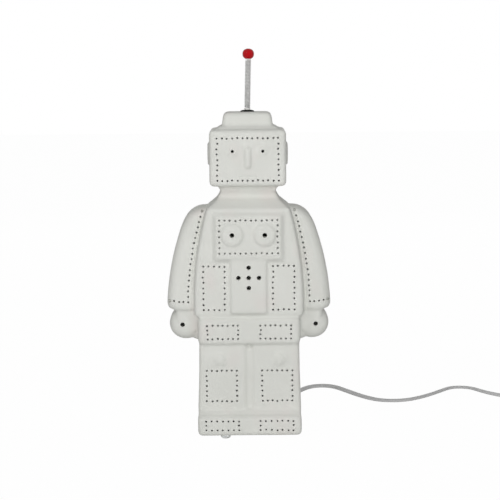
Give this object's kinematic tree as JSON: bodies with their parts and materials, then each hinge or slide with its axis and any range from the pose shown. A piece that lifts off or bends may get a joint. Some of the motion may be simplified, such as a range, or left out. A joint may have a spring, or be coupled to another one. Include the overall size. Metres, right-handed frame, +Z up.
{
  "type": "robot shaped table lamp",
  "caption": "Hollow porcelain table lamp shaped as a standing robot, pierced with light holes, with a sprung bead antenna, inner lampholder, inline switch and plug.",
  "frame": {"origin": "on the surface that the lamp stands on, at the middle of its width and depth, the cord and what is on it left aside", "axes": "+Z up, the robot's face looks along -Y, its own left hand is at +X"},
  "size_m": [0.5664, 0.2801, 0.3826],
  "materials": {
    "porcelain": "unglazed bisque, matte",
    "pad_silicone": "translucent, soft",
    "plate_steel": "zinc plated",
    "clip_steel": "spring steel",
    "fastener_steel": "zinc plated",
    "holder_plastic": "moulded, satin",
    "contact_brass": "plain",
    "cap_metal": "rolled thread, satin",
    "cap_insulator_glass": "black glass, glossy",
    "solder": "dull",
    "bulb_glass": "frosted",
    "stem_glass": "clear",
    "filament_tungsten": "dark wire",
    "grommet_rubber": "black, satin",
    "collar_plastic": "pale, satin",
    "spring_steel": "bright drawn wire",
    "tip_metal": "turned, satin",
    "bead_red": "deep gloss red",
    "gland_plastic": "flexible, satin",
    "conductor_pvc": "insulated core",
    "cord_pvc": "soft PVC, satin",
    "switch_plastic": "moulded, fine satin",
    "rocker_plastic": "moulded",
    "plug_plastic": "moulded, satin",
    "pin_nickel": "nickel plated"
  },
  "bodies": {
    "lamp_body": {"porcelain_shell": "porcelain", "foot_pads": "pad_silicone", "antenna_grommet": "grommet_rubber", "cord_gland": "gland_plastic", "gland_nut": "gland_plastic", "conductor_live": "conductor_pvc", "conductor_neutral": "conductor_pvc", "switch_base": "switch_plastic", "switch_cover": "switch_plastic", "switch_rocker_pin": "fastener_steel", "switch_contacts": "contact_brass", "switch_screws": "fastener_steel", "switch_relief_lamp_side": "cord_pvc", "switch_relief_plug_side": "cord_pvc", "cord_lamp_side": "cord_pvc", "cord_coil": "cord_pvc", "cord_plug_side": "cord_pvc", "cord_tail": "cord_pvc", "plug_body": "plug_plastic", "plug_pins": "pin_nickel", "plug_relief": "plug_plastic"},
    "antenna_foot": {"antenna_collar": "collar_plastic", "antenna_stud": "fastener_steel", "antenna_washer": "fastener_steel", "antenna_nut": "fastener_steel"},
    "antenna": {"antenna_spring": "spring_steel", "antenna_tip_plug": "tip_metal", "antenna_bead": "bead_red"},
    "lampholder": {"base_plate": "plate_steel", "plate_clips": "clip_steel", "holder_nipple": "fastener_steel", "nipple_lower_nut": "fastener_steel", "nipple_upper_nut": "fastener_steel", "holder_base": "holder_plastic", "holder_core": "holder_plastic", "holder_sleeve": "holder_plastic", "holder_screw_shell": "contact_brass", "holder_centre_contact": "contact_brass", "holder_terminal_screws": "contact_brass"},
    "bulb_tip": {"bulb_contact": "solder"},
    "bulb": {"bulb_cap_insulator": "cap_insulator_glass", "bulb_cap": "cap_metal", "bulb_glass": "bulb_glass", "bulb_stem": "stem_glass", "bulb_filament": "filament_tungsten"},
    "rocker": {"switch_rocker": "rocker_plastic"}
  },
  "joints": [
    {"name": "antenna_nod", "type": "hinge", "parent": "lamp_body", "child": "antenna_foot", "pos_m": [0, 0, 0.32225], "axis": [1, 0, 0], "range_deg": [-6, 6], "stiffness_Nm_per_rad": 0.05, "deforming": ["antenna_grommet"]},
    {"name": "antenna_sway", "type": "hinge", "parent": "antenna_foot", "child": "antenna", "pos_m": [0.00004, 0, 0.32385], "axis": [0, 1, 0], "range_deg": [-20, 20], "stiffness_Nm_per_rad": 0.05, "deforming": ["antenna_spring"]},
    {"name": "lampholder_drop", "type": "slide", "parent": "lamp_body", "child": "lampholder", "axis": [0, 0, -1], "range_m": [0, 0.1], "deforming": ["conductor_live", "conductor_neutral"]},
    {"name": "bulb_rise", "type": "slide", "parent": "lampholder", "child": "bulb_tip", "axis": [0, 0, 1], "range_m": [0, 0.01128]},
    {"name": "bulb_turn", "type": "hinge", "parent": "bulb_tip", "child": "bulb", "pos_m": [0, 0, 0.04], "axis": [0, 0, 1], "range_deg": [0, 1442]},
    {"name": "rocker_tilt", "type": "hinge", "parent": "lamp_body", "child": "rocker", "pos_m": [0.36154, 0.07, 0.01425], "axis": [-0.6428, -0.766, 0], "range_deg": [0, 12]}
  ],
  "couplings": [
    {"joint": "bulb_turn", "follows": "bulb_rise", "rad_per_m": 2228.1}
  ]
}
